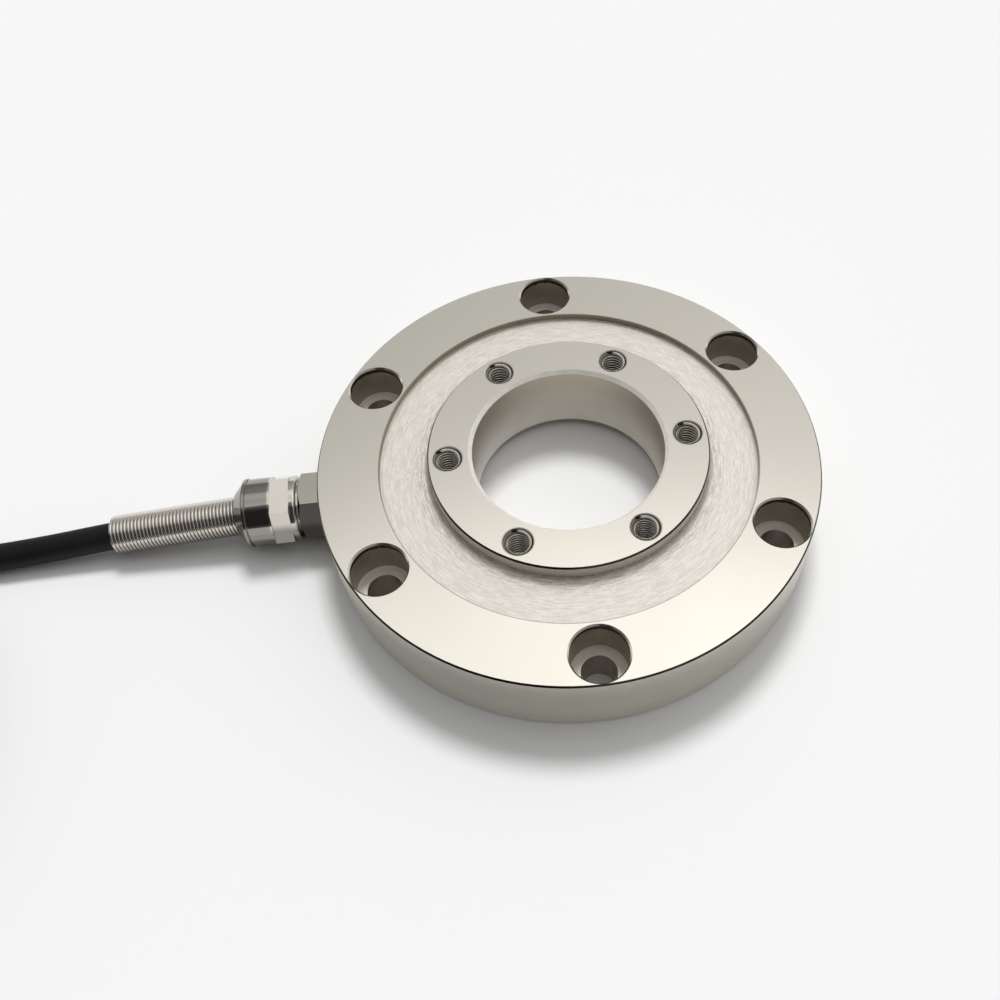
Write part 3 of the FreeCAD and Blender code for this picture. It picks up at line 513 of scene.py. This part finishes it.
def thread_steel():
    """Cut thread: bright crests, flanks painted dark as shade, and fine tool marks."""
    s = Shader("thread_steel", CUT_STEEL, 1.0, 0.25)
    radius, angle, z = s.polar()
    tap = s.from_pattern(radius, angle, TAPPED_PITCH_RADIUS, 0.0)
    sink = HUB_TOP - (TAPPED_MOUTH_RADIUS - TAPPED_RADIUS)
    reach = s.math("SUBTRACT", tap, s.math("MAXIMUM", s.math("SUBTRACT", z, sink), 0.0))
    crest = s.smooth(reach, THREAD_CREST + 0.03 * MM, THREAD_CREST + 0.16 * MM, 1.0, 0.0)
    grain = s.noise(s.place, 1200.0, 3.0)
    s.set("Roughness", s.total(0.22, (grain, 0.15)))
    s.set("Metallic", s.total(1.0, (crest, -0.5)))
    # Painted shade on the flanks, towards the wall
    s.set("Base Color", s.blend(crest, THREAD_SHADE, s.blend(grain, CREST_BRIGHT, CREST_DULL)))
    return s.material


def drawn_wire():
    """Bright spring wire with a fine grain, with painted shade towards the spring's underside."""
    s = Shader("drawn_wire", WIRE, 1.0, 0.12)
    grain = s.noise(s.place, 1400.0, 3.0)
    x, _, z = s.split(s.place)
    slope = (SPRING_END.z - SPRING_START.z) / (SPRING_END.x - SPRING_START.x)
    axis = s.math("MULTIPLY_ADD", x, slope, SPRING_START.z - slope * SPRING_START.x)
    # Painted shade towards the spring's underside
    low = s.smooth(s.math("SUBTRACT", z, axis), 0.8 * MM, 2.6 * MM, 1.0, 0.0)
    s.set("Base Color", s.blend(low, WIRE, WIRE_SHADE))
    s.set("Roughness", s.total(0.08, (grain, 0.06)))
    s.bump(grain, 0.1, 0.01 * MM)
    return s.material


def sheet_steel():
    """Satin cover plate with turned rings."""
    s = Shader("sheet_steel", SHEET_STEEL, 1.0, 0.35)
    radius, angle, _ = s.polar()
    rings = s.streaks(radius, 3000.0, angle, 1.5, 0.0)
    s.bump(rings, 0.3, 0.05 * MM)
    s.set("Roughness", s.math("ADD", 0.28, s.math("MULTIPLY", rings, 0.15)))
    return s.material


def moulded(name, base, rough, grain_scale=900.0, depth=0.25):
    """Plastic or rubber with a fine grain and slightly uneven colour."""
    s = Shader(name, base, 0.0, rough)
    grain = s.noise(s.place, grain_scale, 4.0)
    clouds = s.noise(s.place, 60.0, 2.0)
    paler = tuple(min(1.0, value * 1.25 + 0.004) for value in base)
    s.set("Base Color", s.blend(clouds, base, paler))
    s.set("Roughness", s.math("ADD", rough, s.math("MULTIPLY", grain, 0.12)))
    s.bump(grain, depth, 0.05 * MM)
    return s.material


def gauge_foil():
    """Amber film over a fine metal grid."""
    s = Shader("gauge_foil", FOIL_AMBER, 0.0, 0.3)
    radius, _, _ = s.polar()
    grid = s.smooth(s.math("SINE", s.math("MULTIPLY", radius, 14000.0)), -0.2, 0.2)
    s.set("Base Color", s.blend(grid, FOIL_AMBER, FOIL_GRID))
    s.bump(grid, 0.2, 0.02 * MM)
    return s.material


def copper():
    """Bare copper, slightly dulled."""
    s = Shader("copper", COPPER, 1.0, 0.3)
    grain = s.noise(s.place, 800.0, 3.0)
    s.set("Base Color", s.blend(grain, COPPER, COPPER_DULL))
    s.set("Roughness", s.math("ADD", 0.25, s.math("MULTIPLY", grain, 0.2)))
    return s.material


# Mesh helpers

def piece(name, vertices, faces, material, smooth=True):
    """Mesh object that rides on the load cell."""
    mesh = bpy.data.meshes.new(name)
    mesh.from_pydata([tuple(v) for v in vertices], [], faces)
    mesh.validate()
    if smooth:
        mesh.shade_smooth()
    else:
        mesh.shade_flat()
    mesh.materials.append(material)
    shown = bpy.data.objects.new(name, mesh)
    bpy.context.scene.collection.objects.link(shown)
    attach(shown, "root")
    return shown


def rows_to_faces(rows, width):
    """Quads between closed rings of vertices, all of one width."""
    faces = []
    for row in range(rows - 1):
        for k in range(width):
            n = (k + 1) % width
            faces.append((row * width + k, row * width + n, (row + 1) * width + n, (row + 1) * width + k))
    return faces


def solid_faces(rings, width, first):
    """Faces of a closed solid between its first and last ring, from a first vertex on."""
    faces = rows_to_faces(rings, width)
    faces.append(tuple(reversed(range(width))))
    faces.append(tuple(range((rings - 1) * width, rings * width)))
    return [tuple(first + corner for corner in face) for face in faces]


def tube(name, paths, radius, sides, material):
    """Closed round tubes along paths of points, as one object."""
    vertices = []
    faces = []
    for path in paths:
        first = len(vertices)
        side = UP
        for i, point in enumerate(path):
            ahead = (path[min(i + 1, len(path) - 1)] - path[max(i - 1, 0)]).normalized()
            side = (side - ahead * side.dot(ahead)).normalized()
            other = ahead.cross(side)
            for k in range(sides):
                turn = 2 * math.pi * k / sides
                vertices.append(point + side * (radius * math.cos(turn)) + other * (radius * math.sin(turn)))
        faces += solid_faces(len(path), sides, first)
    return piece(name, vertices, faces, material)


def smooth_curve(name, points, radius, material):
    """Round cord on one open NURBS spline."""
    curve = bpy.data.curves.new(name, "CURVE")
    curve.dimensions = "3D"
    curve.resolution_u = 6
    curve.bevel_depth = radius
    curve.bevel_resolution = 6
    curve.use_fill_caps = True
    spline = curve.splines.new("NURBS")
    spline.points.add(len(points) - 1)
    for control, place in zip(spline.points, points):
        control.co = (*place, 1.0)
    spline.order_u = 3
    spline.use_endpoint_u = True
    curve.materials.append(material)
    shown = bpy.data.objects.new(name, curve)
    bpy.context.scene.collection.objects.link(shown)
    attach(shown, "root")
    return shown


# Pieces

def hub_threads(material):
    """Helical ridges in the tapped holes."""
    sink = HUB_TOP - (TAPPED_MOUTH_RADIUS - TAPPED_RADIUS)
    top = HUB_TOP - THREAD_FIRST * THREAD_PITCH
    last = int(THREAD_DEPTH / THREAD_PITCH) * THREAD_STEPS
    for number in range(TAPPED_COUNT):
        angle = math.radians(60 * number)
        centre = Vector((math.cos(angle), math.sin(angle), 0)) * TAPPED_PITCH_RADIUS
        vertices = []
        for i in range(last + 1):
            turn = math.radians(THREAD_STARTS[number]) - 2 * math.pi * i / THREAD_STEPS
            out = Vector((math.cos(turn), math.sin(turn), 0))
            grown = min(1.0, 8 * min(i, last - i) / THREAD_STEPS)
            middle = top - THREAD_PITCH * i / THREAD_STEPS
            for outside, rise in THREAD_SECTION:
                z = middle + rise * THREAD_PITCH
                wall = THREAD_ROOT + max(0.0, z - sink)
                reach = wall if outside else wall - (THREAD_ROOT - THREAD_CREST) * grown
                vertices.append(centre + out * reach + UP * z)
        faces = rows_to_faces(last + 1, len(THREAD_SECTION))
        piece("hub_thread_%d" % (number + 1), vertices, faces, material, smooth=False)


def relief_spring(material):
    """Round-wire coil on a slightly sagging axis."""
    along = (SPRING_END - SPRING_START).normalized()
    across = Vector((0, 1, 0))
    up = along.cross(across)
    path = []
    for i in range(SPRING_TURNS * SPRING_STEPS + 1):
        share = i / (SPRING_TURNS * SPRING_STEPS)
        turn = 2 * math.pi * i / SPRING_STEPS
        radius = SPRING_RADIUS - SPRING_WIRE_RADIUS
        sag = UP * (SPRING_SAG * 4 * share * (1 - share))
        centre = SPRING_START.lerp(SPRING_END, share) + sag
        path.append(centre + across * (radius * math.cos(turn)) + up * (radius * math.sin(turn)))
    spring = tube("relief_spring", [path], SPRING_WIRE_RADIUS, SPRING_SIDES, material)
    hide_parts("strain_relief_spring")
    return spring


def eased(share):
    """Smooth step from 0 to 1."""
    share = max(0.0, min(1.0, share))
    return share * share * (3 - 2 * share)


def coil_events():
    """Each change of the wound turn: its middle angle, and its step in column and in layer."""
    events = []
    lap = 0
    for layer in range(COIL_LAYERS):
        shift = COIL_FIRST_SHIFT - COIL_LAYER_LAG * layer
        inwards = layer % 2 == 0
        for column in range(COIL_COLUMNS - 1):
            events.append((shift + 360 * lap, -1 if inwards else 1, 0))
            lap += 1
        if layer < COIL_LAYERS - 1:
            events.append((shift - COIL_SHIFT_WIDTH / 2 + 360 * lap, 0, 1))
            lap += 1
    return events


def coil_points(last_angle):
    """Control points of the wound turns, in the order of winding."""
    events = coil_events()
    outwards = 1 / math.cos(math.pi / COIL_STEPS)
    points = []
    for i in range(int(last_angle / 360 * COIL_STEPS) + 1):
        wound = 360.0 * i / COIL_STEPS
        column = COIL_COLUMNS - 1
        layer = 0
        for middle, column_step, layer_step in events:
            done = eased((wound - middle) / COIL_SHIFT_WIDTH + 0.5)
            column += column_step * done
            layer += layer_step * done
        radius = (COIL_INNER_TURN + 2 * CABLE_RADIUS * column) * outwards
        angle = math.radians(COIL_START_ANGLE + wound)
        height = COIL_BASE + 2 * CABLE_RADIUS * layer
        reach = Vector((radius * math.cos(angle), radius * math.sin(angle), height))
        points.append(COIL_CENTRE + reach)
    return points


def cable(material):
    """The whole free cable: lead, coil and tail on one spline."""
    lead = [Vector(point) * MM for point in LEAD_ROUTE]
    tail = [Vector(point) * MM for point in TAIL_ROUTE]
    laps = COIL_COLUMNS * COIL_LAYERS - 1
    tail_angle = math.degrees(math.atan2(tail[0].y - COIL_CENTRE.y, tail[0].x - COIL_CENTRE.x))
    wound = 360 * laps + tail_angle - COIL_START_ANGLE
    turns = coil_points(wound - COIL_TAIL_GAP)
    return smooth_curve("cable", lead + turns + tail, CABLE_RADIUS, material)


def lead_points(route):
    """Places a stripped lead's points at the end of the cable."""
    end = Vector(TAIL_ROUTE[-1])
    ahead = (end - Vector(TAIL_ROUTE[-2])).normalized()
    left = UP.cross(ahead).normalized()
    above = ahead.cross(left)
    return [(end + ahead * point[0] + left * point[1] + above * point[2]) * MM for point in route]


def stripped_leads(insulation, strands):
    """Coloured cores and the braid, each with a twist of bare strands."""
    made = []
    for name, route in LEAD_FAN.items():
        points = lead_points(route)
        way_out = (points[-1] - points[-2]).normalized()
        slot = name.replace("lead_", "")
        lead = smooth_curve(name + "_cover", points, LEAD_RADIUS, insulation[slot])
        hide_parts(name)
        side = UP.cross(way_out).normalized()
        paths = []
        for k in range(STRANDS_AROUND + 1):
            path = []
            for i in range(STRAND_STEPS + 1):
                share = i / STRAND_STEPS
                turn = 2 * math.pi * (k / STRANDS_AROUND + share * STRAND_TWIST)
                in_the_middle = k == STRANDS_AROUND
                reach = 0.0 if in_the_middle else 2.05 * STRAND_RADIUS * (1 + 0.5 * share * share)
                offset = side * (reach * math.cos(turn)) + UP * (reach * math.sin(turn))
                path.append(points[-1] + way_out * (BARE_LENGTH * (share * 1.1 - 0.1)) + offset)
            paths.append(path)
        made.append(tube(name + "_strands", paths, STRAND_RADIUS, 6, strands[slot]))
        made.append(lead)
    return made


def head_outline(inset):
    """Sixteen corners of the tie head's rounded outline, as places along the coil and up."""
    corner_radius = TIE_HEAD_CORNER - inset
    for quarter, (right, top) in enumerate([(1, 1), (-1, 1), (-1, -1), (1, -1)]):
        for step in range(4):
            turn = math.radians(90 * quarter + 30 * step)
            side = right * (TIE_HEAD_HALF_WIDTH - TIE_HEAD_CORNER) + corner_radius * math.cos(turn)
            rise = top * (TIE_HEAD_HALF_HEIGHT - TIE_HEAD_CORNER) + corner_radius * math.sin(turn)
            yield side, rise


def tie_head(number, material):
    """Ratchet head of a cable tie, with the cut tail of its strap and the strap's ridges."""
    angle = math.radians(TIE_ANGLES[number])
    out = Vector((math.cos(angle), math.sin(angle), 0))
    along = Vector((-math.sin(angle), math.cos(angle), 0))
    base = COIL_CENTRE + out * TIE_OUTSIDE + UP * TIE_HEAD_HEIGHT
    vertices = []
    for reach, inset in TIE_HEAD_RINGS:
        vertices += [base + out * reach + along * side + UP * rise for side, rise in head_outline(inset)]
    faces = solid_faces(len(TIE_HEAD_RINGS), 16, 0)

    first = len(vertices)
    start, bend = TIE_TAIL_OUT
    for i in range(TIE_TAIL_STEPS + 1):
        share = i / TIE_TAIL_STEPS
        centre = base + UP * (TIE_TAIL_LENGTH * share) + out * (start + bend * share * share)
        half_width = TIE_STRAP_HALF_WIDTH * min(1.0, 6 * (1.02 - share))
        ridge = TIE_STRAP_RIDGES[i % 2]
        section = [(-1, TIE_STRAP_BACK), (1, TIE_STRAP_BACK), (1, TIE_STRAP_SHOULDER),
                   (0.8, ridge), (-0.8, ridge), (-1, TIE_STRAP_SHOULDER)]
        vertices += [centre + along * (half_width * side) + out * lift for side, lift in section]
    faces += solid_faces(TIE_TAIL_STEPS + 1, 6, first)
    return piece("coil_tie_head_%d" % (number + 1), vertices, faces, material, smooth=False)


def floor():
    """Plain pale floor."""
    s = Shader("floor", FLOOR_PALE, 0.0, 0.9)
    s.set("Specular IOR Level", 0.0)
    clouds = s.noise(s.place, 3.0, 2.0)
    s.set("Base Color", s.blend(clouds, FLOOR_PALE, FLOOR_CLOUD))
    bpy.ops.mesh.primitive_plane_add(size=FLOOR_SIZE, location=(0, 0, -FLOOR_DROP))
    plane = bpy.context.object
    plane.name = "floor"
    plane.data.materials.append(s.material)


def camera():
    """The photograph's camera, as fitted to the circles of the body."""
    data = bpy.data.cameras.new("camera")
    data.lens = CAMERA_LENS
    data.sensor_width = 36
    data.shift_x, data.shift_y = CAMERA_SHIFT
    data.clip_start = 0.01
    shown = bpy.data.objects.new("camera", data)
    bpy.context.scene.collection.objects.link(shown)
    ahead = (CAMERA_TARGET - CAMERA_PLACE).normalized()
    right = ahead.cross(UP).normalized()
    above = right.cross(ahead)
    roll = Matrix.Rotation(math.radians(CAMERA_ROLL), 3, "Z")
    turn = Matrix((right, above, -ahead)).transposed() @ roll
    shown.matrix_world = Matrix.Translation(CAMERA_PLACE) @ turn.to_4x4()
    bpy.context.scene.camera = shown


def studio():
    """Soft studio: pale horizon, light overhead, grey in front of the object with a dark card to the left."""
    world = bpy.data.worlds.new("studio")
    world.use_nodes = True
    bpy.context.scene.world = world
    w = Nodes(world.node_tree)
    background = w.tree.nodes["Background"]
    x, y, z = w.split(w.add("ShaderNodeTexCoord").outputs["Generated"])
    level = w.math("SQRT", w.math("ADD", w.math("MULTIPLY", x, x), w.math("MULTIPLY_ADD", y, y, 0.0001)))
    ahead = w.math("DIVIDE", y, level)
    aside = w.math("DIVIDE", x, level)
    card = w.math("MULTIPLY", w.smooth(aside, *CARD_LEFT), w.smooth(aside, *CARD_RIGHT, CARD_DEPTH, 0.0))
    front = w.blend(card, w.ramp(z, FRONT_LIGHT), UNLIT)
    behind = w.smooth(ahead, -WORLD_MEET, WORLD_MEET)
    w.feed(background.inputs["Color"], w.blend(behind, front, w.ramp(z, BACK_LIGHT)))
    lean = w.math("MULTIPLY", x, w.smooth(z, *WORLD_LEAN_HEIGHTS))
    w.feed(background.inputs["Strength"], w.math("MULTIPLY_ADD", lean, WORLD_LEAN, WORLD_STRENGTH))

    lamp = bpy.data.lights.new("key", "SUN")
    lamp.energy = KEY_ENERGY
    lamp.angle = math.radians(KEY_ANGLE)
    key = bpy.data.objects.new("key", lamp)
    bpy.context.scene.collection.objects.link(key)
    key.rotation_euler = tuple(math.radians(turn) for turn in KEY_TURN)
    key.visible_glossy = False


def finish_cad_nodes(frame, named):
    """Gives each CAD node the material of its slot, and the gland's polished nuts a soft edge."""
    slots = {part["node"]: part["material_slot"] for part in frame["record"]["subparts"]}
    for node, shown in frame["nodes"].items():
        shown.data.materials.clear()
        shown.data.materials.append(named[slots[node]])
    for node in ("gland_body", "cap_nut"):
        edge = frame["nodes"][node].modifiers.new("edge", "BEVEL")
        edge.width = GLAND_EDGE
        edge.segments = 2
        edge.limit_method = "ANGLE"
        edge.angle_limit = math.radians(GLAND_EDGE_ANGLE)


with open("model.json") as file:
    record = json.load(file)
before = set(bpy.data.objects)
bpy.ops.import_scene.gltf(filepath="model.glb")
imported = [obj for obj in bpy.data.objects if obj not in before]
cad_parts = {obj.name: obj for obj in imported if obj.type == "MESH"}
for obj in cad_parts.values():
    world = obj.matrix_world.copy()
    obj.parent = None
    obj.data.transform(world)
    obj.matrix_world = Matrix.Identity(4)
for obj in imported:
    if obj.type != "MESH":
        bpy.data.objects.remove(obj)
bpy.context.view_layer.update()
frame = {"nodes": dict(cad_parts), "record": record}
bpy.context.scene.view_settings.view_transform = "Standard"
camera()

jacket = moulded("cable_jacket", (0.004, 0.004, 0.005), 0.6, 700.0, 0.3)
jacket.node_tree.nodes["Principled BSDF"].inputs["Specular IOR Level"].default_value = 0.3
nickel = machined_nickel()
wire = drawn_wire()
bare_copper = copper()
tinned = polished_nickel("tinned_copper", TINNED, 0.28)
insulation = {
    "red": moulded("red_cover", (0.45, 0.02, 0.015), 0.35),
    "green": moulded("green_cover", (0.02, 0.2, 0.05), 0.35),
    "white": moulded("white_cover", (0.72, 0.72, 0.68), 0.35),
    "black": moulded("black_cover", (0.015, 0.015, 0.015), 0.35),
    "shield": tinned,
}
strands = {slot: tinned if slot == "shield" else bare_copper for slot in insulation}
rubber = moulded("black_rubber", (0.02, 0.02, 0.021), 0.55)
named = {
    "body": nickel,
    "cover": sheet_steel(),
    "seal": rubber,
    "gauge_foil": gauge_foil(),
    "copper": bare_copper,
    "board": moulded("board_green", (0.02, 0.17, 0.07), 0.3),
    "foam": moulded("grey_pad", (0.3, 0.3, 0.28), 0.7),
    "resistor": moulded("resistor_black", (0.02, 0.02, 0.022), 0.45),
    "gland": polished_nickel(),
    "spring_steel": wire,
    "jacket": jacket,
    "tie": moulded("black_nylon", (0.02, 0.02, 0.022), 0.5),
    **insulation,
}
finish_cad_nodes(frame, named)

cord = cable(jacket)
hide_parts("cable_lead", "cable_coil", "cable_tail")
leads = stripped_leads(insulation, strands)
relief = relief_spring(wire)
hub_threads(thread_steel())
heads = [tie_head(number, named["tie"]) for number in range(len(TIE_ANGLES))]

floor()
studio()
